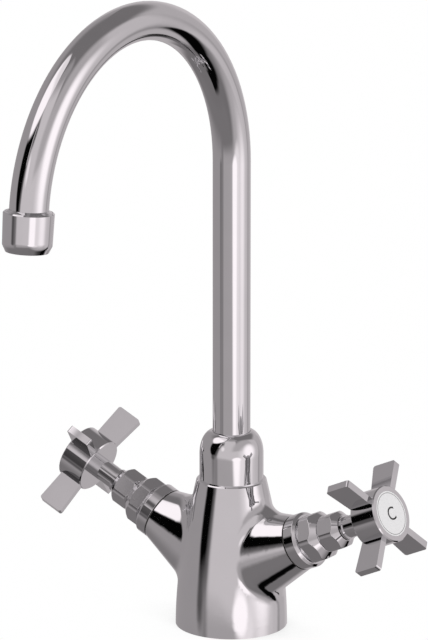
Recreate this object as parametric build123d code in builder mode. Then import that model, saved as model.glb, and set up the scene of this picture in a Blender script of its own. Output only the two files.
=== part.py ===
"""Two handle kitchen faucet: a one-hole mixer with a swivelling gooseneck spout.

Origin at the centre of the underside of the body, +Z up. The cold valve leans out
towards +X, the hot valve towards -X, and the spout reaches over the sink towards -Y.
"""

from build123d import *
import os
from math import cos, radians, sin, tan

# ---------------------------------------------------------------- driving dimensions, mm
# body casting: a slim cone that flares to its foot, with a threaded socket on top
foot_radius = 26.8
skirt_height = 17.0
skirt_draft = 0.7
waist_radius = 22.4
waist_height = 45.0
shoulder_radius = 16.8
shoulder_height = 72.4
shoulder_chamfer = 0.5
socket_wall = 1.6
socket_rise = 11.6
socket_depth = 22.0
mixing_bore_radius = 6.5
mixing_bore_depth = 12.0

# arms of the casting, which carry the valves
valve_tilt = 24.5
valve_height = 29.1
arm_radius = 13.4
arm_length = 43.5
arm_root_half_width = 20.5
arm_root_half_height = 26.0
arm_root_rise = 2.2
arm_root_station = 6.0
crotch_fillet = 10.0

# underside of the body
inlet_spacing = 19.0
inlet_thread_radius = 4.5
inlet_thread_depth = 13.0
inlet_bore_radius = 4.2
stud_thread_radius = 3.4
stud_thread_depth = 14.0
stud_offset = 13.5
seal_inset = 4.6
seal_width = 3.4
seal_thickness = 2.5
seal_chamfer = 0.6

# seat and chamber of each valve, as stations along the valve axis
orifice_radius = 4.5
orifice_start = 6.5
seat_station = 25.5
seat_lip_wall = 1.5
seat_lip_height = 1.6
chamber_radius = 9.2
chamber_end = 30.0
crossover_radius = 3.2
crossover_offset = 6.0

# headwork: bonnet, gland nut and packing
bonnet_thread_radius = 10.3
bonnet_bore_radius = 7.3
bonnet_washer_thickness = 0.7
bonnet_washer_inset = 0.5
flange_thickness = 6.5
flange_chamfer = 1.2
bonnet_neck_radius = 10.6
bonnet_neck_length = 0.9
bonnet_hex_flats = 22.0
bonnet_hex_length = 5.8
bonnet_hex_corner_radius = 12.1
bonnet_cone_length = 3.5
bonnet_cone_radius = 8.8
gland_neck_wall = 1.15
gland_thread_length = 6.0
packing_width = 2.1
packing_length = 7.9
gland_hex_flats = 17.0
gland_hex_corner_radius = 9.3
gland_length = 11.2
gland_crown_length = 2.9
gland_crown_radius = 6.3
gland_foot_chamfer = 0.9

# spindle, jumper and seat washer
spindle_radius = 4.0
spindle_thread_height = 0.45
spindle_foot_length = 10.3
spindle_turns = 2.125
spindle_lead = 2.0
jumper_thickness = 2.5
jumper_stem_radius = 3.0
jumper_stem_length = 8.0
seat_washer_radius = 6.5
seat_washer_thickness = 2.2
washer_stud_radius = 1.5
washer_nut_flats = 5.4
washer_nut_thickness = 2.0

# cross handles
sleeve_wall = 1.3
sleeve_length = 13.5
sleeve_lip = 0.65
sleeve_lip_length = 1.3
hub_radius = 13.65
hub_length = 12.0
hub_chamfer = 0.5
hub_web = 2.0
hub_recess_radius = 8.4
spline_depth = 3.6
vane_reach = 30.0
vane_thickness = 3.6
vane_tip_length = 13.2
vane_root_length = 11.8
vane_corner_fillet = 1.2
vane_angle = 45.0
index_cap_thickness = 2.1
index_cap_chamfer = 0.5
index_disc_radius = 10.9
index_disc_thickness = 1.3
handle_screw_radius = 1.95
handle_screw_length = 9.5
handle_screw_head_radius = 3.9
handle_screw_head_length = 2.3

# spout: a tube that rises, turns over and comes down
tube_radius = 9.0
tube_wall = 1.0
spout_straight = 164.4
spout_radius = 80.3
spout_turn = 174.5
tube_end_gap = 2.0

# swivel joint at the foot of the spout
bush_wall = 2.5
bush_flange_thickness = 2.0
o_ring_radius = 0.8
o_ring_flats = 8
o_ring_groove_depth = 1.6
o_ring_inset = 3.5
o_ring_spacing = 10.0
glide_ring_thickness = 1.0
collar_wall = 2.0
collar_dome_height = 11.0

# outlet of the spout: distances run down from the rim of the aerator housing
nipple_wall = 1.5
nipple_taper = 1.5
nipple_length = 8.4
housing_wall = 1.1
housing_draft = 0.3
housing_foot_inset = 1.8
housing_foot_length = 3.1
housing_rim_chamfer = 0.6
housing_lip_width = 0.6
housing_lip_length = 2.4
aerator_washer_thickness = 1.2
insert_step = 1.1
insert_flange_thickness = 1.2
insert_length = 5.6
insert_wall = 1.2
mesh_thickness = 0.5

# clearances
thread_clearance = 0.1
running_clearance = 0.05
swivel_clearance = 0.1
end_clearance = 0.3

# ---------------------------------------------------------------- places worked out from these
# radii, from the spout's tube outwards
bush_radius = tube_radius + bush_wall
socket_bore_radius = bush_radius + swivel_clearance
socket_radius = socket_bore_radius + socket_wall
bush_flange_radius = socket_radius - end_clearance
collar_radius = socket_radius + thread_clearance + collar_wall
nipple_radius = tube_radius + nipple_wall
housing_radius = nipple_radius + thread_clearance + housing_wall
insert_radius = nipple_radius - insert_step

# radii, from the spindle outwards
spindle_thread_radius = spindle_radius + spindle_thread_height
spindle_foot_radius = bonnet_bore_radius - end_clearance
packing_radius = spindle_radius + packing_width
gland_thread_radius = packing_radius + running_clearance + gland_neck_wall
sleeve_radius = spindle_radius + running_clearance + sleeve_wall
index_plug_radius = hub_recess_radius - thread_clearance
seal_radius = foot_radius - seal_inset

# stations along a valve
spindle_lift = spindle_turns * spindle_lead
washer_station = seat_station + seat_washer_thickness
jumper_top = washer_station + jumper_thickness
foot_station = jumper_top + running_clearance
foot_top = foot_station + spindle_foot_length
spindle_room_top = foot_top + spindle_lift + end_clearance
bonnet_skirt_station = chamber_end + end_clearance
flange_station = arm_length + bonnet_washer_thickness
bonnet_neck_station = flange_station + flange_thickness
bonnet_hex_station = bonnet_neck_station + bonnet_neck_length
bonnet_cone_station = bonnet_hex_station + bonnet_hex_length
bonnet_cone_top = bonnet_cone_station + bonnet_cone_length
gland_station = bonnet_cone_top + thread_clearance
gland_top = gland_station + gland_length
gland_thread_top = gland_station + gland_thread_length
packing_top = gland_thread_top + end_clearance
packing_station = packing_top - packing_length
spindle_thread_top = packing_station - spindle_lift - end_clearance
sleeve_station = gland_top + end_clearance
hub_station = sleeve_station + sleeve_length
hub_front = hub_station + hub_length
cap_front = hub_front + index_cap_thickness
spline_top = hub_station + spline_depth
spindle_top = spline_top - running_clearance
screw_seat = spline_top + hub_web
screw_tip = screw_seat - handle_screw_length
index_plug_station = screw_seat + end_clearance

# heights along the body
socket_top = shoulder_height + socket_rise
socket_floor = socket_top - socket_depth
tube_foot = socket_floor + tube_end_gap
spout_rise = tube_foot + spout_straight
glide_top = socket_top + glide_ring_thickness
bush_flange_start = glide_top + running_clearance
bush_flange_top = bush_flange_start + bush_flange_thickness
collar_roof = bush_flange_top + swivel_clearance
collar_top = glide_top + collar_dome_height
o_ring_heights = (tube_foot + o_ring_inset, tube_foot + o_ring_inset + o_ring_spacing)

# distances down the outlet
insert_start = nipple_length + aerator_washer_thickness
insert_ledge = insert_start + insert_flange_thickness
insert_end = insert_start + insert_length
housing_length = insert_end + housing_lip_length


def valve_direction(side):
    """Unit vector along a valve, out of the body: side is 1 for cold and -1 for hot."""
    tilt = radians(valve_tilt)
    return Vector(side * cos(tilt), 0, sin(tilt))


def valve_axis(side):
    return Axis((0, 0, valve_height), valve_direction(side))


def valve_section(side, turn=0):
    """Plane that holds the valve axis: its x runs out along the axis, its y across it."""
    along = valve_direction(side)
    square = Vector(0, -side, 0).rotate(Axis((0, 0, 0), along), turn)
    return Plane((0, 0, valve_height), x_dir=along, z_dir=square)


def valve_plane(side, station):
    """Plane square to the valve axis at a station, with its y towards the top."""
    centre = Vector(0, 0, valve_height) + valve_direction(side) * station
    return Plane(centre, x_dir=(0, side, 0), z_dir=valve_direction(side))


def spout_point(turn):
    """Point of the spout's centre line, some degrees round its bend."""
    reach = spout_radius * (1 - cos(radians(turn)))
    return (0, -reach, spout_rise + spout_radius * sin(radians(turn)))


def outlet_plane():
    """Plane square to the end of the spout, at the rim of the aerator, looking out of it."""
    turn = radians(spout_turn)
    return Plane(spout_point(spout_turn), x_dir=(1, 0, 0), z_dir=(0, -sin(turn), cos(turn)))


def outlet_section():
    """Plane that holds the outlet's axis: its x runs down the axis, its y across it."""
    square = outlet_plane()
    return Plane(square.origin, x_dir=square.z_dir, z_dir=(1, 0, 0))


def outlet_axis():
    return Axis(outlet_plane().origin, outlet_plane().z_dir)


def outline(plane, *points):
    """Closed straight-sided outline, given as points (along, across)."""
    with BuildSketch(plane) as sketch:
        with BuildLine():
            Polyline(*points, close=True)
        make_face()
    return sketch.sketch


def ring(plane, start, end, inner, outer):
    """Half section of a ring between two stations."""
    return outline(plane, (start, inner), (end, inner), (end, outer), (start, outer))


def save(part, name):
    part.label = name
    export_step(part, f"parts/{name}.step")


# ---------------------------------------------------------------- body
def make_mixer_body():
    with BuildPart() as mixer_body:
        # trunk, drawn towards the back so that its seam stays clear of the arms
        with BuildSketch(Plane.YZ):
            with BuildLine():
                Line((0, 0), (foot_radius, 0))
                Spline(
                    (foot_radius, 0),
                    (foot_radius - skirt_draft, skirt_height),
                    (waist_radius, waist_height),
                    (shoulder_radius, shoulder_height - shoulder_chamfer),
                )
                Polyline(
                    (shoulder_radius, shoulder_height - shoulder_chamfer),
                    (shoulder_radius - shoulder_chamfer, shoulder_height),
                    (0, shoulder_height),
                    (0, 0),
                )
            make_face()
        revolve(axis=Axis.Z)
        trunk_edges = mixer_body.edges()

        for side in (1, -1):
            with BuildSketch(valve_plane(side, arm_root_station)):
                with Locations((0, arm_root_rise)):
                    Ellipse(arm_root_half_width, arm_root_half_height)
            with BuildSketch(valve_plane(side, arm_length)):
                Circle(arm_radius)
            loft()
        # the curves where the arms leave the trunk: their ends are circles, their seams lengthwise
        crotches = [
            edge
            for edge in mixer_body.edges() - trunk_edges
            if edge.geom_type != GeomType.CIRCLE and edge.bounding_box().size.Y > arm_radius / 2
        ]
        fillet(crotches, crotch_fillet)

        with BuildSketch(Plane.XY.offset(shoulder_height)):
            Circle(socket_radius)
        extrude(amount=socket_rise)

        # waterway up the middle: mixing bore, then the socket that the spout turns in
        with BuildSketch(Plane.XY.offset(socket_floor - mixing_bore_depth)):
            Circle(mixing_bore_radius)
        extrude(amount=mixing_bore_depth, mode=Mode.SUBTRACT)
        with BuildSketch(Plane.XY.offset(socket_floor)):
            Circle(socket_bore_radius)
        extrude(amount=socket_depth, mode=Mode.SUBTRACT)

        for side in (1, -1):
            plane, axis = valve_section(side), valve_axis(side)
            # chamber and bonnet thread, with the seat lip left standing
            lip_radius = orifice_radius + seat_lip_wall
            thread_radius = bonnet_thread_radius + thread_clearance
            chamber = outline(
                plane,
                (seat_station, 0),
                (seat_station, lip_radius),
                (seat_station - seat_lip_height, lip_radius),
                (seat_station - seat_lip_height, chamber_radius),
                (chamber_end, chamber_radius),
                (chamber_end, thread_radius),
                (arm_length, thread_radius),
                (arm_length, 0),
            )
            revolve(chamber, axis=axis, mode=Mode.SUBTRACT)
            orifice = ring(plane, orifice_start, seat_station, 0, orifice_radius)
            revolve(orifice, axis=axis, mode=Mode.SUBTRACT)
            # inlet from below, threaded at its mouth
            inlet_reach = inlet_spacing / 2
            inlet_top = valve_height + inlet_reach * tan(radians(valve_tilt))
            with BuildSketch(Plane.XY):
                with Locations((side * inlet_reach, 0)):
                    Circle(inlet_thread_radius)
            extrude(amount=inlet_thread_depth, mode=Mode.SUBTRACT)
            with BuildSketch(Plane.XY):
                with Locations((side * inlet_reach, 0)):
                    Circle(inlet_bore_radius)
            extrude(amount=inlet_top, mode=Mode.SUBTRACT)
            # crossover from the chamber up to the mixing bore
            port = valve_plane(side, chamber_end - crossover_radius)
            start = port.from_local_coords(Vector(0, crossover_offset, 0))
            end = Vector(0, 0, socket_floor - crossover_radius)
            with BuildSketch(Plane(start, z_dir=end - start)):
                Circle(crossover_radius)
            extrude(amount=(end - start).length, mode=Mode.SUBTRACT)

        # underside: fixing stud and the groove of the base seal
        with BuildSketch(Plane.XY):
            with Locations((0, stud_offset)):
                Circle(stud_thread_radius)
        extrude(amount=stud_thread_depth, mode=Mode.SUBTRACT)
        with BuildSketch(Plane.XY):
            Circle(seal_radius + seal_width / 2 + running_clearance)
            Circle(seal_radius - seal_width / 2 - running_clearance, mode=Mode.SUBTRACT)
        extrude(amount=seal_thickness, mode=Mode.SUBTRACT)
    save(mixer_body.part, "mixer_body")


def make_base_seal():
    with BuildPart() as base_seal:
        with BuildSketch(Plane.XY):
            Circle(seal_radius + seal_width / 2)
            Circle(seal_radius - seal_width / 2, mode=Mode.SUBTRACT)
        extrude(amount=seal_thickness)
        chamfer(base_seal.edges().group_by(Axis.Z)[0], seal_chamfer)
    save(base_seal.part, "base_seal")


# ---------------------------------------------------------------- valves
def make_bonnet(side, name):
    plane, axis = valve_section(side), valve_axis(side)
    with BuildPart() as bonnet:
        with BuildSketch(valve_plane(side, bonnet_neck_station)):
            RegularPolygon(bonnet_hex_flats / 2, 6, major_radius=False)
        extrude(amount=bonnet_cone_top - bonnet_neck_station)
        turned_hex = outline(
            plane,
            (bonnet_neck_station, 0),
            (bonnet_neck_station, bonnet_neck_radius),
            (bonnet_hex_station, bonnet_neck_radius),
            (bonnet_hex_station, bonnet_hex_corner_radius),
            (bonnet_cone_station, bonnet_hex_corner_radius),
            (bonnet_cone_top, bonnet_cone_radius),
            (bonnet_cone_top, 0),
        )
        revolve(turned_hex, axis=axis, mode=Mode.INTERSECT)
        shank = outline(
            plane,
            (bonnet_skirt_station, 0),
            (bonnet_skirt_station, bonnet_thread_radius),
            (flange_station, bonnet_thread_radius),
            (flange_station, arm_radius),
            (bonnet_neck_station - flange_chamfer, arm_radius),
            (bonnet_neck_station, arm_radius - flange_chamfer),
            (bonnet_neck_station, gland_thread_radius),
            (gland_thread_top, gland_thread_radius),
            (gland_thread_top, 0),
        )
        revolve(shank, axis=axis)
        bore = outline(
            plane,
            (bonnet_skirt_station, 0),
            (bonnet_skirt_station, bonnet_bore_radius),
            (spindle_room_top, bonnet_bore_radius),
            (spindle_room_top, spindle_thread_radius + running_clearance),
            (packing_station, spindle_thread_radius + running_clearance),
            (packing_station, packing_radius + running_clearance),
            (gland_thread_top, packing_radius + running_clearance),
            (gland_thread_top, 0),
        )
        revolve(bore, axis=axis, mode=Mode.SUBTRACT)
    save(bonnet.part, f"{name}_bonnet")


def make_bonnet_washer(side, name):
    with BuildPart() as bonnet_washer:
        section = ring(
            valve_section(side),
            arm_length,
            flange_station,
            bonnet_thread_radius + thread_clearance,
            arm_radius - bonnet_washer_inset,
        )
        revolve(section, axis=valve_axis(side))
    save(bonnet_washer.part, f"{name}_bonnet_washer")


def make_gland_nut(side, name):
    plane, axis = valve_section(side), valve_axis(side)
    with BuildPart() as gland_nut:
        with BuildSketch(valve_plane(side, gland_station)):
            RegularPolygon(gland_hex_flats / 2, 6, major_radius=False)
        extrude(amount=gland_length)
        crown_station = gland_top - gland_crown_length
        turned_hex = outline(
            plane,
            (gland_station, 0),
            (gland_station, bonnet_cone_radius - thread_clearance),
            (gland_station + gland_foot_chamfer, gland_hex_corner_radius),
            (crown_station, gland_hex_corner_radius),
            (gland_top, gland_crown_radius),
            (gland_top, 0),
        )
        revolve(turned_hex, axis=axis, mode=Mode.INTERSECT)
        bore = outline(
            plane,
            (gland_station, 0),
            (gland_station, gland_thread_radius + thread_clearance),
            (packing_top, gland_thread_radius + thread_clearance),
            (packing_top, spindle_radius + swivel_clearance),
            (gland_top, spindle_radius + swivel_clearance),
            (gland_top, 0),
        )
        revolve(bore, axis=axis, mode=Mode.SUBTRACT)
    save(gland_nut.part, f"{name}_gland_nut")


def make_gland_packing(side, name):
    with BuildPart() as gland_packing:
        section = ring(
            valve_section(side),
            packing_station,
            packing_top,
            spindle_radius + running_clearance,
            packing_radius,
        )
        revolve(section, axis=valve_axis(side))
    save(gland_packing.part, f"{name}_gland_packing")


def make_spindle(side, name):
    plane, axis = valve_section(side), valve_axis(side)
    with BuildPart() as spindle:
        section = outline(
            plane,
            (foot_station, 0),
            (foot_station, spindle_foot_radius),
            (foot_top, spindle_foot_radius),
            (foot_top, spindle_thread_radius),
            (spindle_thread_top, spindle_thread_radius),
            (spindle_thread_top, spindle_radius),
            (spindle_top, spindle_radius),
            (spindle_top, 0),
        )
        revolve(section, axis=axis)
        stem_hole = ring(
            plane,
            foot_station,
            jumper_top + jumper_stem_length + end_clearance,
            0,
            jumper_stem_radius + swivel_clearance,
        )
        revolve(stem_hole, axis=axis, mode=Mode.SUBTRACT)
        screw_hole = ring(
            plane,
            screw_tip - end_clearance,
            spindle_top,
            0,
            handle_screw_radius + running_clearance,
        )
        revolve(screw_hole, axis=axis, mode=Mode.SUBTRACT)
    save(spindle.part, f"{name}_spindle")


def make_jumper(side, name):
    with BuildPart() as jumper:
        section = outline(
            valve_section(side),
            (seat_station - washer_nut_thickness, 0),
            (seat_station - washer_nut_thickness, washer_stud_radius),
            (washer_station, washer_stud_radius),
            (washer_station, spindle_foot_radius),
            (jumper_top, spindle_foot_radius),
            (jumper_top, jumper_stem_radius),
            (jumper_top + jumper_stem_length, jumper_stem_radius),
            (jumper_top + jumper_stem_length, 0),
        )
        revolve(section, axis=valve_axis(side))
    save(jumper.part, f"{name}_jumper")


def make_seat_washer(side, name):
    with BuildPart() as seat_washer:
        section = ring(
            valve_section(side),
            seat_station,
            washer_station,
            washer_stud_radius + running_clearance,
            seat_washer_radius,
        )
        revolve(section, axis=valve_axis(side))
    save(seat_washer.part, f"{name}_seat_washer")


def make_washer_nut(side, name):
    with BuildPart() as washer_nut:
        with BuildSketch(valve_plane(side, seat_station - washer_nut_thickness)):
            RegularPolygon(washer_nut_flats / 2, 6, major_radius=False)
            Circle(washer_stud_radius + running_clearance, mode=Mode.SUBTRACT)
        extrude(amount=washer_nut_thickness)
    save(washer_nut.part, f"{name}_washer_nut")


# ---------------------------------------------------------------- handles
def make_cross_handle(side, name):
    plane, axis = valve_section(side), valve_axis(side)
    with BuildPart() as cross_handle:
        for quarter in range(4):
            with BuildSketch(valve_section(side, vane_angle + 90 * quarter)) as vane:
                with BuildLine():
                    Polyline(
                        (hub_front - vane_root_length, 0),
                        (hub_front - vane_root_length, hub_radius),
                        (hub_front - vane_tip_length, vane_reach),
                        (hub_front, vane_reach),
                        (hub_front, 0),
                        close=True,
                    )
                make_face()
                fillet(vane.vertices().group_by(Axis.Y)[-1], vane_corner_fillet)
            extrude(amount=vane_thickness / 2, both=True)

        hub = outline(
            plane,
            (sleeve_station, 0),
            (sleeve_station, sleeve_radius + sleeve_lip),
            (sleeve_station + sleeve_lip_length, sleeve_radius + sleeve_lip),
            (sleeve_station + sleeve_lip_length, sleeve_radius),
            (hub_station, sleeve_radius),
            (hub_station, hub_radius - hub_chamfer),
            (hub_station + hub_chamfer, hub_radius),
            (hub_front, hub_radius),
            (hub_front, 0),
        )
        revolve(hub, axis=axis)
        bores = outline(
            plane,
            (sleeve_station, 0),
            (sleeve_station, spindle_radius + running_clearance),
            (spline_top, spindle_radius + running_clearance),
            (spline_top, handle_screw_radius + running_clearance),
            (screw_seat, handle_screw_radius + running_clearance),
            (screw_seat, hub_recess_radius),
            (hub_front, hub_recess_radius),
            (hub_front, 0),
        )
        revolve(bores, axis=axis, mode=Mode.SUBTRACT)
    save(cross_handle.part, f"{name}_handle")


def make_handle_screw(side, name):
    with BuildPart() as handle_screw:
        section = outline(
            valve_section(side),
            (screw_tip, 0),
            (screw_tip, handle_screw_radius),
            (screw_seat, handle_screw_radius),
            (screw_seat, handle_screw_head_radius),
            (screw_seat + handle_screw_head_length, handle_screw_head_radius),
            (screw_seat + handle_screw_head_length, 0),
        )
        revolve(section, axis=valve_axis(side))
    save(handle_screw.part, f"{name}_handle_screw")


def make_index_cap(side, name):
    with BuildPart() as index_cap:
        section = outline(
            valve_section(side),
            (index_plug_station, 0),
            (index_plug_station, index_plug_radius),
            (hub_front, index_plug_radius),
            (hub_front, hub_radius),
            (cap_front - index_cap_chamfer, hub_radius),
            (cap_front, hub_radius - index_cap_chamfer),
            (cap_front, index_disc_radius + running_clearance),
            (cap_front - index_disc_thickness, index_disc_radius + running_clearance),
            (cap_front - index_disc_thickness, 0),
        )
        revolve(section, axis=valve_axis(side))
        screw_room = ring(
            valve_section(side),
            index_plug_station,
            screw_seat + handle_screw_head_length + end_clearance,
            0,
            handle_screw_head_radius + end_clearance,
        )
        revolve(screw_room, axis=valve_axis(side), mode=Mode.SUBTRACT)
    save(index_cap.part, f"{name}_index_cap")


def make_index_disc(side, name):
    with BuildPart() as index_disc:
        with BuildSketch(valve_plane(side, cap_front - index_disc_thickness)):
            Circle(index_disc_radius)
        extrude(amount=index_disc_thickness)
    save(index_disc.part, f"{name}_index_disc")


# ---------------------------------------------------------------- spout
def make_spout_tube():
    with BuildPart() as spout_tube:
        with BuildLine() as path:
            Line((0, 0, tube_foot), spout_point(0))
            ThreePointArc(spout_point(0), spout_point(spout_turn / 2), spout_point(spout_turn))
        with BuildSketch(Plane.XY.offset(tube_foot)):
            Circle(tube_radius)
            Circle(tube_radius - tube_wall, mode=Mode.SUBTRACT)
        sweep(path=path.line)
        with BuildSketch(outlet_plane()):
            Circle(tube_radius)
            Circle(tube_radius - tube_wall, mode=Mode.SUBTRACT)
        extrude(amount=nipple_length)
    save(spout_tube.part, "spout_tube")


def make_spout_bush():
    bore = tube_radius + running_clearance
    groove_floor = bush_radius - o_ring_groove_depth
    half_groove = o_ring_radius + running_clearance
    with BuildPart() as spout_bush:
        section = outline(
            Plane.XZ,
            (bore, tube_foot),
            (bush_radius, tube_foot),
            (bush_radius, bush_flange_start),
            (bush_flange_radius, bush_flange_start),
            (bush_flange_radius, bush_flange_top),
            (bore, bush_flange_top),
        )
        revolve(section, axis=Axis.Z)
        for height in o_ring_heights:
            with BuildSketch(Plane.XY.offset(height - half_groove)):
                Circle(bush_radius)
                Circle(groove_floor, mode=Mode.SUBTRACT)
            extrude(amount=2 * half_groove, mode=Mode.SUBTRACT)
    save(spout_bush.part, "spout_bush")


def make_spout_o_rings():
    # a few flats stand for the round section of each ring
    ring_centre = socket_bore_radius - running_clearance - o_ring_radius
    with BuildPart() as spout_o_rings:
        with BuildSketch(Plane.XZ):
            for height in o_ring_heights:
                with Locations((ring_centre, height)):
                    RegularPolygon(
                        o_ring_radius,
                        o_ring_flats,
                        major_radius=False,
                        rotation=180 / o_ring_flats,
                    )
        revolve(axis=Axis.Z)
    save(spout_o_rings.part, "spout_o_rings")


def make_spout_glide_ring():
    with BuildPart() as spout_glide_ring:
        with BuildSketch(Plane.XY.offset(socket_top)):
            Circle(bush_flange_radius)
            Circle(bush_radius + swivel_clearance, mode=Mode.SUBTRACT)
        extrude(amount=glide_ring_thickness)
    save(spout_glide_ring.part, "spout_glide_ring")


def make_spout_collar():
    bore = tube_radius + swivel_clearance
    inside = socket_radius + thread_clearance
    with BuildPart() as spout_collar:
        with BuildSketch(Plane.XZ):
            with BuildLine():
                Polyline(
                    (bore, collar_top),
                    (bore, collar_roof),
                    (inside, collar_roof),
                    (inside, shoulder_height),
                    (collar_radius, shoulder_height),
                    (collar_radius, glide_top),
                )
                EllipticalCenterArc(
                    (bore, glide_top),
                    collar_radius - bore,
                    collar_dome_height,
                    arc_size=90,
                )
            make_face()
        revolve(axis=Axis.Z)
    save(spout_collar.part, "spout_collar")


# ---------------------------------------------------------------- outlet
def make_spout_nipple():
    with BuildPart() as spout_nipple:
        section = outline(
            outlet_section(),
            (-nipple_taper, tube_radius + running_clearance),
            (-housing_rim_chamfer, nipple_radius),
            (nipple_length, nipple_radius),
            (nipple_length, tube_radius + running_clearance),
        )
        revolve(section, axis=outlet_axis())
    save(spout_nipple.part, "spout_nipple")


def make_aerator_housing():
    thread = nipple_radius + thread_clearance
    seat = insert_radius + running_clearance
    mouth = insert_radius - housing_lip_width
    knee = housing_length - housing_foot_length
    with BuildPart() as aerator_housing:
        section = outline(
            outlet_section(),
            (-housing_rim_chamfer, thread),
            (-housing_rim_chamfer, housing_radius - housing_rim_chamfer),
            (0, housing_radius),
            (knee, housing_radius - housing_draft),
            (housing_length, housing_radius - housing_foot_inset),
            (housing_length, mouth),
            (insert_end, mouth),
            (insert_end, seat),
            (insert_ledge, seat),
            (insert_ledge, thread),
        )
        revolve(section, axis=outlet_axis())
    save(aerator_housing.part, "aerator_housing")


def make_aerator_washer():
    with BuildPart() as aerator_washer:
        section = ring(
            outlet_section(),
            nipple_length,
            insert_start,
            tube_radius - tube_wall,
            nipple_radius,
        )
        revolve(section, axis=outlet_axis())
    save(aerator_washer.part, "aerator_washer")


def make_aerator_insert():
    inside = insert_radius - insert_wall
    with BuildPart() as aerator_insert:
        section = outline(
            outlet_section(),
            (insert_start, inside),
            (insert_start, nipple_radius),
            (insert_ledge, nipple_radius),
            (insert_ledge, insert_radius),
            (insert_end, insert_radius),
            (insert_end, inside),
        )
        revolve(section, axis=outlet_axis())
    save(aerator_insert.part, "aerator_insert")


def make_aerator_mesh():
    with BuildPart() as aerator_mesh:
        section = ring(
            outlet_section(),
            insert_end - mesh_thickness,
            insert_end,
            0,
            insert_radius - insert_wall - running_clearance,
        )
        revolve(section, axis=outlet_axis())
    save(aerator_mesh.part, "aerator_mesh")


os.makedirs("parts", exist_ok=True)
make_mixer_body()
make_base_seal()
for side, name in ((1, "cold"), (-1, "hot")):
    make_bonnet(side, name)
    make_bonnet_washer(side, name)
    make_gland_nut(side, name)
    make_gland_packing(side, name)
    make_spindle(side, name)
    make_jumper(side, name)
    make_seat_washer(side, name)
    make_washer_nut(side, name)
    make_cross_handle(side, name)
    make_handle_screw(side, name)
    make_index_cap(side, name)
    make_index_disc(side, name)
make_spout_tube()
make_spout_bush()
make_spout_o_rings()
make_spout_glide_ring()
make_spout_collar()
make_spout_nipple()
make_aerator_housing()
make_aerator_washer()
make_aerator_insert()
make_aerator_mesh()
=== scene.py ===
"""The looks of the two handle kitchen faucet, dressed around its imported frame.

Metres, same frame as the model: origin under the foot, +Z up, cold valve towards +X,
hot valve towards -X, spout over the sink towards -Y.
"""

from math import cos, pi, radians, sin

import bmesh
import bpy
from mathutils import Matrix, Vector


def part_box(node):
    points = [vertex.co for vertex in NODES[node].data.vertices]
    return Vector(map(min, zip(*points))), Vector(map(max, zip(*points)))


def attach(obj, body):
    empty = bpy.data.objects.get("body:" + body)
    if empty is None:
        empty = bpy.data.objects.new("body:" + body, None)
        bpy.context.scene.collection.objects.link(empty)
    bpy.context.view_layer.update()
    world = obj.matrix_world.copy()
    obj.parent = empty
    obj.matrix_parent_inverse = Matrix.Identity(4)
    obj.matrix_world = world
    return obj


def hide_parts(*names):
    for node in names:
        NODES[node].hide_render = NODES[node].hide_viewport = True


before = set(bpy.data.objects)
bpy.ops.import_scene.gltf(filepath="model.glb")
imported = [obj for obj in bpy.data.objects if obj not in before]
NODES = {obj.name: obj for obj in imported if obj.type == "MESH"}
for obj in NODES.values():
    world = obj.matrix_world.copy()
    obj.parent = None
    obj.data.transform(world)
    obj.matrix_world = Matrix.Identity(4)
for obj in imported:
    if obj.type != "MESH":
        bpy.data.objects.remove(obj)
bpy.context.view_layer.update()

MM = 0.001
UPRIGHT = (0, 0, 1)

# ---------------------------------------------------------------- camera
# angles in degrees; the sensor's width runs along the picture's longer side, its height
CAMERA_AZIMUTH = 34.681
CAMERA_ELEVATION = 15.261
CAMERA_DISTANCE = 2.6175
CAMERA_REACH = 20.0
AIM_RIGHT = -8.366 * MM
AIM_HEIGHT = 150.586 * MM
FOCAL_LENGTH_PIXELS = 5517.859
IMAGE_HEIGHT_PIXELS = 640
SENSOR_WIDTH = 36.0

# ---------------------------------------------------------------- the tap's own places
VALVE_TILT = 24.5
VALVE_CENTRE = Vector((0, 0, 29.1 * MM))
SIDES = {"cold": 1, "hot": -1}

# smoothing and small rounded edges, angles in degrees
SHARP_ANGLE = 28.0
JOIN_DISTANCE = 0.001 * MM
BEVEL_ANGLE = 25.0
BEVEL_SEGMENTS = 2
HANDLE_EDGE = 0.5 * MM
HEXAGON_EDGE = 0.25 * MM

# relief of the plated surfaces
CAST_WAVES = 0.05 * MM
TUBE_WAVES = 0.012 * MM
TURNING_MARKS = 0.0004 * MM

# index letters and the ring round them, printed on the discs with a thickness
INDEX_LETTERS = {"cold": "C", "hot": "H"}
LETTER_HEIGHT = 6.4 * MM
LETTER_CURVE_STEPS = 6
PRINT_THICKNESS = 0.06 * MM
RING_INSET = 0.75 * MM
RING_WIDTH = 0.22 * MM
RING_STEPS = 96

# woven wire cloth of the outlet
WIRE_PITCH = 0.8 * MM
WIRE_RADIUS = 0.13 * MM
WIRE_BEVEL_STEPS = 1

# ---------------------------------------------------------------- floor and studio
FLOOR_SIZE = 3.0
FLOOR_COLOUR = (0.8, 0.8, 0.8, 1)
SHADOW_REACH = 0.12
SHADOW_SAMPLES = 8
DEEPEST_SHADOW = 0.6

# Directions are (azimuth, elevation) in degrees: azimuth 0 faces the camera, 90 is to
# the picture's right, and what crosses 180 runs on to 200. Greys are display values
# from 0 to 255.
LIGHT_LEVEL = 0.9
GLOSS_GAIN = 1.22
STUDIO_TINT = (1.0, 0.935, 0.962)
ROOM_GREY = 110
WHITE = (1, 1, 1, 1)


def linear(grey):
    """Linear value of a display grey from 0 to 255."""
    share = grey / 255
    return share / 12.92 if share <= 0.04045 else ((share + 0.055) / 1.055) ** 2.4


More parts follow.
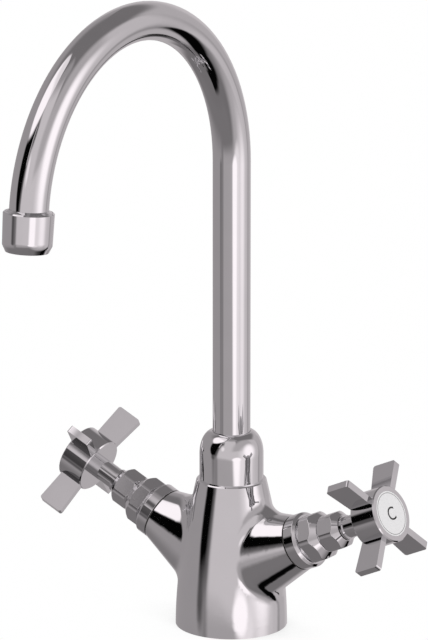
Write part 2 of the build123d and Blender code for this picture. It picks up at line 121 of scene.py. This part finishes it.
def place_camera():
    azimuth, elevation = radians(CAMERA_AZIMUTH), radians(CAMERA_ELEVATION)
    sight = Vector(
        (
            -sin(azimuth) * cos(elevation),
            cos(azimuth) * cos(elevation),
            -sin(elevation),
        )
    )
    right = Vector((cos(azimuth), sin(azimuth), 0))
    aim = right * AIM_RIGHT + Vector((0, 0, AIM_HEIGHT))
    data = bpy.data.cameras.new("camera")
    data.sensor_width = SENSOR_WIDTH
    data.lens = FOCAL_LENGTH_PIXELS / IMAGE_HEIGHT_PIXELS * SENSOR_WIDTH
    data.clip_end = CAMERA_REACH
    camera = bpy.data.objects.new("camera", data)
    camera.location = aim - sight * CAMERA_DISTANCE
    camera.rotation_euler = sight.to_track_quat("-Z", "Y").to_euler()
    bpy.context.scene.collection.objects.link(camera)
    bpy.context.scene.camera = camera


# ---------------------------------------------------------------- node helpers
def new_node(tree, kind, **settings):
    made = tree.nodes.new(kind)
    for name, value in settings.items():
        setattr(made, name, value)
    return made


class Graph:
    """A node tree with short ways to add what the materials and the world need."""

    def __init__(self, tree):
        self.tree = tree
        tree.nodes.clear()

    def add(self, kind, **settings):
        return new_node(self.tree, "ShaderNode" + kind, **settings)

    def feed(self, socket, value):
        """Links a socket to the value if that is a socket, and sets it if not."""
        if isinstance(value, bpy.types.NodeSocket):
            self.tree.links.new(value, socket)
        else:
            socket.default_value = value

    def feed_all(self, made, *values):
        """Feeds a node's inputs in their own order."""
        for socket, value in zip(made.inputs, values):
            self.feed(socket, value)

    def math(self, operation, *values):
        made = self.add("Math", operation=operation)
        self.feed_all(made, *values)
        return made.outputs[0]

    def product(self, *values):
        total = values[0]
        for value in values[1:]:
            total = self.math("MULTIPLY", total, value)
        return total

    def either(self, *masks):
        total = masks[0]
        for mask in masks[1:]:
            total = self.math("MAXIMUM", total, mask)
        return total

    def vector(self, operation, first, second):
        made = self.add("VectorMath", operation=operation)
        self.feed_all(made, first, second)
        return made.outputs

    def dot(self, vector, direction):
        return self.vector("DOT_PRODUCT", vector, direction)["Value"]

    def ramp(self, value, start, end, low=0.0, high=1.0):
        """Smooth step from low at start to high at end: start may be the larger."""
        made = self.add("MapRange", interpolation_type="SMOOTHSTEP")
        self.feed(made.inputs["Value"], value)
        made.inputs["From Min"].default_value = start
        made.inputs["From Max"].default_value = end
        made.inputs["To Min"].default_value = low
        made.inputs["To Max"].default_value = high
        return made.outputs["Result"]

    def mix(self, low, high, mask, kind="FLOAT"):
        """Low where the mask is 0 and high where it is 1: numbers, or RGBA colours."""
        made = self.add("Mix", data_type=kind)
        self.feed(made.inputs["Factor"], mask)
        self.feed(made.inputs["A"], low)
        self.feed(made.inputs["B"], high)
        return made.outputs["Result"]

    def colour(self, red, green, blue):
        made = self.add("CombineColor")
        self.feed_all(made, red, green, blue)
        return made.outputs[0]

    def place(self):
        """The place on the object, in metres."""
        return self.add("TexCoord").outputs["Object"]

    def noise(self, place, scale, detail=2.0):
        made = self.add("TexNoise")
        self.feed(made.inputs["Vector"], place)
        made.inputs["Scale"].default_value = scale
        made.inputs["Detail"].default_value = detail
        return made.outputs["Fac"]

    def noise_along(self, station, scale):
        """Noise that changes along one line only."""
        made = self.add("TexNoise", noise_dimensions="1D")
        self.feed(made.inputs["W"], station)
        made.inputs["Scale"].default_value = scale
        return made.outputs["Fac"]


# ---------------------------------------------------------------- studio
class Room(Graph):
    """The light from all around the tap, laid on in layers: the last one covers."""

    def __init__(self, tree):
        super().__init__(tree)
        direction = self.add("TexCoord").outputs["Generated"]
        facing = radians(CAMERA_AZIMUTH)
        right = self.dot(direction, (cos(facing), sin(facing), 0))
        towards = self.dot(direction, (sin(facing), -cos(facing), 0))
        upward = self.dot(direction, UPRIGHT)
        self.azimuth = self.degrees("ARCTAN2", right, towards)
        self.elevation = self.degrees("ARCSINE", upward)
        self.light = linear(ROOM_GREY)

    def degrees(self, operation, *values):
        return self.math("MULTIPLY", self.math(operation, *values), 180 / pi)

    def inside(self, start, end, soft):
        """1 on the left of the line from start to end, 0 on its right, softly."""
        run, rise = end[0] - start[0], end[1] - start[1]
        length = (run * run + rise * rise) ** 0.5
        along = self.math("SUBTRACT", self.azimuth, start[0])
        up = self.math("SUBTRACT", self.elevation, start[1])
        signed = self.math(
            "SUBTRACT",
            self.math("MULTIPLY", up, run / length),
            self.math("MULTIPLY", along, rise / length),
        )
        return self.ramp(signed, start=-soft, end=soft)

    def panel(self, corners, soft):
        """Panel with its corners anticlockwise, blurred by soft degrees each way."""
        sides = zip(corners, corners[1:] + corners[:1])
        return self.product(*(self.inside(start, end, soft) for start, end in sides))

    def glow(self, centre, edge, core):
        """Oval glow: 0 past the edge's half width and height, 1 within core of them."""
        across = self.math("SUBTRACT", self.azimuth, centre[0])
        up = self.math("SUBTRACT", self.elevation, centre[1])
        across = self.math("DIVIDE", across, edge[0])
        up = self.math("DIVIDE", up, edge[1])
        squares = self.math(
            "ADD", self.math("MULTIPLY", across, across), self.math("MULTIPLY", up, up)
        )
        return self.ramp(self.math("SQRT", squares), start=1.0, end=core)

    def lay(self, grey, *masks):
        """Covers the light so far with the grey, where any mask says so."""
        self.light = self.mix(self.light, linear(grey), self.either(*masks))


def lay_walls(room):
    low_front = [(-140, -58), (10, -58), (10, -16), (-140, -16)]
    left = [(-200, -30), (-62, -26), (-62, 42), (-200, 42)]
    low_back = [(-200, -56), (-172, -56), (-156, -24), (-200, -24)]
    far_left = [(-200, -16), (-168, -8), (-168, 18), (-200, 24)]
    right = [
        (118, -66), (158, -72), (176, -50), (200, -44),
        (200, 20), (150, 32), (114, 34),
    ]
    far_right = [(146, -20), (200, -20), (200, 12), (150, 16)]
    room.lay(114, room.panel(low_front, soft=12))
    room.lay(146, room.panel(left, soft=12))
    room.lay(168, room.panel(low_back, soft=10))
    room.lay(178, room.panel(far_left, soft=7))
    room.lay(170, room.panel(right, soft=8))
    room.lay(186, room.panel(far_right, soft=7))


def lay_front(room):
    """Front wall with its skirting and dim top, and the round screen on its right."""
    skirting = [(-53, -23), (20, -23), (20, 0), (-53, 0)]
    wall = [(-53, -10), (14, -12), (26, 74), (-38, 76)]
    dim_top = [(-37, 66), (44, 62), (44, 84), (-37, 84)]
    screen_end = [(86, -28), (110, -30), (118, 26), (92, 44)]
    room.lay(158, room.panel(skirting, soft=6))
    room.lay(192, room.panel(wall, soft=6))
    room.lay(146, room.panel(dim_top, soft=9))
    room.lay(166, room.glow(centre=(58, 8), edge=(66, 60), core=0.7))
    room.lay(192, room.glow(centre=(20, 0), edge=(58, 18), core=0.55))
    room.lay(184, room.panel(screen_end, soft=6))


def lay_lamps(room):
    """Lamp behind the screen, its patch on the table, and a lamp to the left."""
    room.lay(226, room.glow(centre=(62, 0), edge=(45, 35), core=0.25))
    room.lay(255, room.glow(centre=(68, 6), edge=(31, 31), core=0.3))
    room.lay(224, room.glow(centre=(33, -16), edge=(24, 10), core=0.3))
    room.lay(255, room.glow(centre=(18, -12), edge=(20, 8), core=0.55))
    room.lay(226, room.glow(centre=(-34, 20), edge=(9, 11), core=0.35))


def lay_softbox(room):
    """Softbox, up on the left, with a dimmer glow above it."""
    softbox = [
        (-132, 60), (-112, 45), (-92, 31), (-78, 29),
        (-56, 43), (-42, 58), (-66, 66),
    ]
    room.lay(222, room.glow(centre=(-86, 66), edge=(50, 15), core=0.84))
    room.lay(253, room.panel(softbox, soft=5))


def lay_flag(room):
    """Black flag under the softbox, its soft foot and side, and a slit of light."""
    side = [(-66, -8), (-56, -6), (-39, 42), (-60, 42)]
    flag = [
        (-87, 27), (-87, 8), (-80, -4), (-74, -7),
        (-62, -4), (-52, 20), (-48, 44), (-70, 35),
    ]
    slit = [(-52, 22), (-49, 22), (-45, 44), (-48, 44)]
    room.lay(80, room.glow(centre=(-70, -10), edge=(12, 10), core=0.2))
    room.lay(90, room.glow(centre=(-42, 40), edge=(14, 13), core=0.2))
    room.lay(84, room.panel(side, soft=5))
    room.lay(3, room.panel(flag, soft=3.5))
    room.lay(190, room.panel(slit, soft=1.2))


def lay_cloths(room):
    """Black cloth on the floor, low in front and to the right, and a gap past it."""
    front = [(-34, -68), (-28, -76), (-16, -84), (24, -86), (50, -81), (62, -60)]
    right = [(30, -63), (40, -82), (80, -80), (114, -68), (112, -46), (90, -48)]
    end = [(84, -52), (88, -68), (114, -67), (117, -36), (114, -26), (106, -26)]
    gap = [(119, -54), (134, -54), (134, -26), (119, -26)]
    strip = [(138, -58), (146, -58), (146, -38), (138, -34)]
    room.lay(
        4,
        room.panel(front, soft=4),
        room.panel(right, soft=4),
        room.panel(end, soft=3),
    )
    room.lay(172, room.panel(gap, soft=6))
    room.lay(12, room.panel(strip, soft=3))


def light_studio():
    """White to the camera, the studio to gloss, and even light to all other rays."""
    bpy.context.scene.view_settings.view_transform = "Standard"
    world = bpy.data.worlds.new("studio")
    world.use_nodes = True
    bpy.context.scene.world = world
    room = Room(world.node_tree)
    lay_walls(room)
    lay_front(room)
    lay_lamps(room)
    lay_softbox(room)
    lay_flag(room)
    lay_cloths(room)
    gains = (share * GLOSS_GAIN for share in STUDIO_TINT)
    studio = room.colour(*(room.math("MULTIPLY", room.light, gain) for gain in gains))
    rays = room.add("LightPath").outputs
    to_camera, to_gloss = rays["Is Camera Ray"], rays["Is Glossy Ray"]
    seen = room.mix(studio, WHITE, to_camera, kind="RGBA")
    even = (LIGHT_LEVEL, LIGHT_LEVEL, LIGHT_LEVEL, 1)
    light = room.mix(even, seen, room.either(to_camera, to_gloss), kind="RGBA")
    background = room.add("Background")
    room.feed(background.inputs["Color"], light)
    room.feed(room.add("OutputWorld").inputs["Surface"], background.outputs[0])


def floor_material():
    """To the camera, white with the tap's soft shadow; to other rays, pale grey."""
    material = bpy.data.materials.new("floor_white")
    material.use_nodes = True
    graph = Graph(material.node_tree)
    openness = graph.add("AmbientOcclusion", samples=SHADOW_SAMPLES)
    openness.inputs["Distance"].default_value = SHADOW_REACH
    shade = graph.ramp(openness.outputs["AO"], start=0.1, end=0.62, low=DEEPEST_SHADOW)
    grain = graph.noise(graph.place(), scale=40.0)
    speckle = graph.ramp(grain, start=0.0, end=1.0, low=0.998)
    level = graph.math("MULTIPLY", shade, speckle)
    emission = graph.add("Emission")
    graph.feed(emission.inputs["Color"], graph.colour(level, level, level))
    diffuse = graph.add("BsdfDiffuse")
    diffuse.inputs["Color"].default_value = FLOOR_COLOUR
    to_camera = graph.add("LightPath").outputs["Is Camera Ray"]
    both = graph.add("MixShader")
    graph.feed_all(both, to_camera, diffuse.outputs[0], emission.outputs[0])
    graph.feed(graph.add("OutputMaterial").inputs["Surface"], both.outputs[0])
    return material


def lay_floor():
    half = FLOOR_SIZE / 2
    corners = [(-half, -half, 0), (half, -half, 0), (half, half, 0), (-half, half, 0)]
    mesh = bpy.data.meshes.new("floor")
    mesh.from_pydata(corners, [], [(0, 1, 2, 3)])
    mesh.materials.append(floor_material())
    floor = bpy.data.objects.new("floor", mesh)
    bpy.context.scene.collection.objects.link(floor)
    floor.visible_glossy = False


# ---------------------------------------------------------------- materials
def new_material(name):
    """A material with its node graph, its shader and the place on the object."""
    material = bpy.data.materials.new(name)
    material.use_nodes = True
    graph = Graph(material.node_tree)
    shader = graph.add("BsdfPrincipled")
    graph.feed(graph.add("OutputMaterial").inputs["Surface"], shader.outputs["BSDF"])
    return material, graph, shader, graph.place()


def tint(graph, shader, low, high, mask):
    """Base colour from low to high, as the mask goes from 0 to 1."""
    colour = graph.mix((*low, 1), (*high, 1), mask, kind="RGBA")
    graph.feed(shader.inputs["Base Color"], colour)


def bump(graph, shader, height, distance):
    """Relief that stands the distance high where the height is 1."""
    made = graph.add("Bump")
    made.inputs["Distance"].default_value = distance
    graph.feed(made.inputs["Height"], height)
    graph.feed(shader.inputs["Normal"], made.outputs["Normal"])


def chrome(name, waviness=0.0, axis=None, origin=(0, 0, 0)):
    """Polished plating, faintly hazed, with a casting's waves or marks of turning."""
    material, graph, shader, place = new_material(name)
    haze = graph.noise(place, scale=90.0, detail=4.0)
    wipes = graph.noise(place, scale=700.0, detail=3.0)
    tint(graph, shader, low=(0.78, 0.78, 0.79), high=(0.83, 0.83, 0.84), mask=haze)
    shader.inputs["Metallic"].default_value = 1.0
    hazed = graph.ramp(haze, start=0.35, end=0.8, low=0.02, high=0.05)
    wiped = graph.ramp(wipes, start=0.62, end=0.8, low=0.0, high=0.03)
    graph.feed(shader.inputs["Roughness"], graph.math("ADD", hazed, wiped))
    if waviness:
        bump(graph, shader, graph.noise(place, scale=75.0, detail=1.0), waviness)
    if axis:
        station = graph.dot(graph.vector("SUBTRACT", place, origin)["Vector"], axis)
        bump(graph, shader, graph.noise_along(station, scale=9000.0), TURNING_MARKS)
    return material


def brass():
    """Turned brass: mottled tarnish and a fine grain."""
    material, graph, shader, place = new_material("brass_turned")
    stain = graph.noise(place, scale=160.0, detail=4.0)
    tint(graph, shader, low=(0.70, 0.52, 0.26), high=(0.83, 0.67, 0.38), mask=stain)
    shader.inputs["Metallic"].default_value = 1.0
    gloss = graph.ramp(stain, start=0.3, end=0.8, low=0.2, high=0.4)
    graph.feed(shader.inputs["Roughness"], gloss)
    bump(graph, shader, graph.noise(place, scale=2500.0), 0.02 * MM)
    return material


def steel():
    """Stainless steel: one fine grain in its colour, gloss and relief."""
    material, graph, shader, place = new_material("stainless_steel")
    grain = graph.noise(place, scale=1200.0, detail=3.0)
    tint(graph, shader, low=(0.55, 0.55, 0.56), high=(0.68, 0.68, 0.68), mask=grain)
    shader.inputs["Metallic"].default_value = 1.0
    gloss = graph.ramp(grain, start=0.2, end=0.8, low=0.22, high=0.36)
    graph.feed(shader.inputs["Roughness"], gloss)
    bump(graph, shader, grain, 0.01 * MM)
    return material


def moulded(name, low, high, roughness, grain_scale, depth, coat=0.0):
    """Rubber, plastic, fibre, ink or enamel: mottled, with varied gloss and a grain."""
    spread = 0.05
    material, graph, shader, place = new_material(name)
    cloud = graph.noise(place, scale=220.0, detail=4.0)
    grain = graph.noise(place, scale=grain_scale, detail=3.0)
    tint(graph, shader, low, high, mask=cloud)
    gloss = graph.ramp(
        grain, start=0.2, end=0.8, low=roughness - spread, high=roughness + spread
    )
    graph.feed(shader.inputs["Roughness"], gloss)
    if coat:
        shader.inputs["Coat Weight"].default_value = coat
        shader.inputs["Coat Roughness"].default_value = 0.05
    bump(graph, shader, grain, depth)
    return material


def neutral(level):
    return (level, level, level)


def rubber():
    return moulded(
        "black_rubber",
        low=neutral(0.035),
        high=neutral(0.06),
        roughness=0.6,
        grain_scale=1500.0,
        depth=0.02 * MM,
    )


def plastic():
    return moulded(
        "white_plastic",
        low=(0.82, 0.82, 0.80),
        high=(0.87, 0.87, 0.85),
        roughness=0.4,
        grain_scale=1800.0,
        depth=0.006 * MM,
    )


def fibre():
    return moulded(
        "dark_fibre",
        low=(0.03, 0.028, 0.026),
        high=(0.06, 0.055, 0.05),
        roughness=0.8,
        grain_scale=1400.0,
        depth=0.03 * MM,
    )


def enamel():
    return moulded(
        "white_enamel",
        low=(0.94, 0.93, 0.94),
        high=(0.95, 0.94, 0.95),
        roughness=0.3,
        grain_scale=900.0,
        depth=0.001 * MM,
        coat=0.6,
    )


def ink(name, low, high):
    return moulded(
        name,
        low=neutral(low),
        high=neutral(high),
        roughness=0.45,
        grain_scale=2600.0,
        depth=0.004 * MM,
    )


# ---------------------------------------------------------------- smoothing and edges
def smoothing_group():
    """Joins the triangles' corners and shades them smooth, except over sharp edges."""
    group = bpy.data.node_groups.new("smooth_shading", "GeometryNodeTree")
    for way in ("INPUT", "OUTPUT"):
        group.interface.new_socket(
            "Geometry", in_out=way, socket_type="NodeSocketGeometry"
        )
    source = new_node(group, "NodeGroupInput")
    result = new_node(group, "NodeGroupOutput")
    forget = new_node(group, "GeometryNodeRemoveAttribute")
    forget.inputs["Name"].default_value = "custom_normal"
    join = new_node(group, "GeometryNodeMergeByDistance")
    join.inputs["Distance"].default_value = JOIN_DISTANCE
    faces = new_node(group, "GeometryNodeSetShadeSmooth", domain="FACE")
    edges = new_node(group, "GeometryNodeSetShadeSmooth", domain="EDGE")
    edges.inputs["Shade Smooth"].default_value = False
    chain = [source, forget, join, faces, edges, result]
    for before, after in zip(chain, chain[1:]):
        group.links.new(before.outputs["Geometry"], after.inputs["Geometry"])
    angle = new_node(group, "GeometryNodeInputMeshEdgeAngle")
    sharp = new_node(
        group, "FunctionNodeCompare", data_type="FLOAT", operation="GREATER_THAN"
    )
    sharp.inputs["B"].default_value = radians(SHARP_ANGLE)
    group.links.new(angle.outputs["Unsigned Angle"], sharp.inputs["A"])
    group.links.new(sharp.outputs["Result"], edges.inputs["Selection"])
    return group


def shade_smooth(node, group):
    NODES[node].modifiers.new("smooth_shading", "NODES").node_group = group


def soften_edges(node, width):
    """Small rounded edges, as polishing leaves them."""
    bevel = NODES[node].modifiers.new("rounded_edges", "BEVEL")
    bevel.width = width
    bevel.segments = BEVEL_SEGMENTS
    bevel.limit_method = "ANGLE"
    bevel.angle_limit = radians(BEVEL_ANGLE)
    bevel.use_clamp_overlap = True
    bevel.harden_normals = True


# ---------------------------------------------------------------- pieces of the scene
def add_piece(name, mesh, body, material):
    mesh.materials.clear()
    mesh.materials.append(material)
    piece = bpy.data.objects.new(name, mesh)
    bpy.context.scene.collection.objects.link(piece)
    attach(piece, body)
    return piece


def curve_mesh(curve):
    """The mesh of a curve or a text, filled or bevelled as the curve says."""
    holder = bpy.data.objects.new("curve_holder", curve)
    mesh = bpy.data.meshes.new_from_object(holder)
    bpy.data.objects.remove(holder)
    return mesh


def valve_direction(side):
    """Outward direction of a valve's axis: side is 1 for cold and -1 for hot."""
    tilt = radians(VALVE_TILT)
    return Vector((side * cos(tilt), 0, sin(tilt)))


def disc_face(side, disc):
    """Matrix of a disc's face, x to the reader's right and z out, and its radius."""
    outward = valve_direction(side)
    across = Vector((0, side, 0))
    upward = outward.cross(across)
    vertices = NODES[disc].data.vertices
    reach = max((vertex.co - VALVE_CENTRE).dot(outward) for vertex in vertices)
    radius = max((vertex.co - VALVE_CENTRE).dot(across) for vertex in vertices)
    place = Matrix((across, upward, outward)).transposed().to_4x4()
    place.translation = VALVE_CENTRE + outward * reach
    return place, radius


def settle_order(items):
    """Sorts edges or faces by their corners: an extrusion adds its own in any order."""
    ordered = sorted(items, key=lambda item: sorted(v.index for v in item.verts))
    for rank, item in enumerate(ordered):
        item.index = rank
    items.sort()


def thicken(mesh):
    """Extrudes a flat mesh upwards by PRINT_THICKNESS."""
    shape = bmesh.new()
    shape.from_mesh(mesh)
    bmesh.ops.remove_doubles(shape, verts=shape.verts, dist=JOIN_DISTANCE)
    grown = bmesh.ops.extrude_face_region(shape, geom=shape.faces[:])["geom"]
    raised = [item for item in grown if isinstance(item, bmesh.types.BMVert)]
    bmesh.ops.translate(shape, verts=raised, vec=(0, 0, PRINT_THICKNESS))
    bmesh.ops.recalc_face_normals(shape, faces=shape.faces)
    shape.verts.index_update()
    settle_order(shape.edges)
    settle_order(shape.faces)
    shape.to_mesh(mesh)
    shape.free()
    return mesh


def letter_mesh(letter):
    """The letter, centred and PRINT_THICKNESS deep, its back on the plane z = 0."""
    curve = bpy.data.curves.new("letter_" + letter, "FONT")
    curve.body = letter
    curve.resolution_u = LETTER_CURVE_STEPS
    mesh = curve_mesh(curve)
    low = Vector((min(v.co[axis] for v in mesh.vertices) for axis in range(3)))
    high = Vector((max(v.co[axis] for v in mesh.vertices) for axis in range(3)))
    scale = LETTER_HEIGHT / (high.y - low.y)
    mesh.transform(Matrix.Scale(scale, 4) @ Matrix.Translation(-(low + high) / 2))
    return thicken(mesh)


def ring_mesh(radius):
    """Ring RING_WIDTH wide and PRINT_THICKNESS deep, its outer edge at the radius."""
    points = []
    for step in range(RING_STEPS):
        turn = 2 * pi * step / RING_STEPS
        for reach in (radius - RING_WIDTH, radius):
            points.append((reach * cos(turn), reach * sin(turn), 0))
    count = len(points)
    faces = [(i, i + 1, (i + 3) % count, (i + 2) % count) for i in range(0, count, 2)]
    mesh = bpy.data.meshes.new("index_ring")
    mesh.from_pydata(points, [], faces)
    return thicken(mesh)


def print_discs():
    """The index letter and the thin ring round it, on both discs."""
    letter_ink = ink("printed_ink", 0.03, 0.05)
    ring_ink = ink("ring_ink", 0.2, 0.27)
    for name, side in SIDES.items():
        place, radius = disc_face(side, f"{name}_index_disc")
        body = f"{name}_cross_handle"
        letter = letter_mesh(INDEX_LETTERS[name])
        ring = ring_mesh(radius - RING_INSET)
        for mesh in (letter, ring):
            mesh.transform(place)
        add_piece(f"{name}_index_letter", letter, body, letter_ink)
        add_piece(f"{name}_index_ring", ring, body, ring_ink)


def weave_mesh(radius, centre):
    """Round woven wire cloth: every wire passes over and under its neighbours."""
    curve = bpy.data.curves.new("woven_wire", "CURVE")
    curve.dimensions = "3D"
    curve.bevel_depth = WIRE_RADIUS
    curve.bevel_resolution = WIRE_BEVEL_STEPS
    curve.use_fill_caps = True
    wires = int(radius / WIRE_PITCH)
    for along, across in ((0, 1), (1, 0)):
        for wire in range(-wires, wires + 1):
            offset = wire * WIRE_PITCH
            half = (radius * radius - offset * offset) ** 0.5
            steps = max(1, int(half / (WIRE_PITCH / 2)))
            line = curve.splines.new("POLY")
            line.points.add(2 * steps)
            for point, step in zip(line.points, range(-steps, steps + 1)):
                place = [0, 0, 0, 1]
                place[along] = step * WIRE_PITCH / 2
                place[across] = offset
                place[2] = WIRE_RADIUS * cos(pi * (step / 2 + wire + along))
                point.co = place
    mesh = curve_mesh(curve)
    mesh.transform(Matrix.Translation(centre))
    for face in mesh.polygons:
        face.use_smooth = True
    return mesh


def weave_outlet(material):
    """Woven cloth in place of the model's plain disc."""
    low, high = (Vector(corner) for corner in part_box("aerator_mesh"))
    mesh = weave_mesh((high.x - low.x) / 2 - WIRE_RADIUS, (low + high) / 2)
    cloth = add_piece("outlet_wire_cloth", mesh, "spout", material)
    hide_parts("aerator_mesh")


# ---------------------------------------------------------------- dressing of the nodes
def dress(material, *nodes):
    for node in nodes:
        for slot in NODES[node].material_slots:
            slot.material = material


def dress_valve(name, side, shared):
    """Dresses one side's bonnet, valve and handle."""
    turned = chrome(
        f"chrome_turned_{name}",
        axis=tuple(valve_direction(side)),
        origin=tuple(VALVE_CENTRE),
    )
    finishes = {
        "bonnet": turned,
        "bonnet_washer": shared["fibre"],
        "gland_nut": turned,
        "gland_packing": shared["rubber"],
        "spindle": shared["brass"],
        "jumper": shared["brass"],
        "seat_washer": shared["rubber"],
        "washer_nut": shared["brass"],
        "handle": turned,
        "handle_screw": shared["steel"],
        "index_cap": turned,
        "index_disc": shared["enamel"],
    }
    for piece, material in finishes.items():
        dress(material, f"{name}_{piece}")
    soften_edges(f"{name}_handle", HANDLE_EDGE)
    soften_edges(f"{name}_bonnet", HEXAGON_EDGE)
    soften_edges(f"{name}_gland_nut", HEXAGON_EDGE)


def dress_nodes():
    group = smoothing_group()
    for node in NODES:
        shade_smooth(node, group)
    dress(chrome("chrome_cast", waviness=CAST_WAVES), "mixer_body")
    dress(chrome("chrome_tube", waviness=TUBE_WAVES), "spout_tube")
    dress(chrome("chrome_collar", axis=UPRIGHT), "spout_collar")
    dress(chrome("chrome_outlet", axis=UPRIGHT), "spout_nipple", "aerator_housing")
    shared = {
        "brass": brass(),
        "steel": steel(),
        "rubber": rubber(),
        "plastic": plastic(),
        "fibre": fibre(),
        "enamel": enamel(),
    }
    dress(shared["rubber"], "base_seal", "spout_o_rings", "aerator_washer")
    dress(shared["brass"], "spout_bush")
    dress(shared["plastic"], "spout_glide_ring", "aerator_insert")
    dress(shared["steel"], "aerator_mesh")
    weave_outlet(shared["steel"])
    for name, side in SIDES.items():
        dress_valve(name, side, shared)


place_camera()
light_studio()
lay_floor()
dress_nodes()
print_discs()
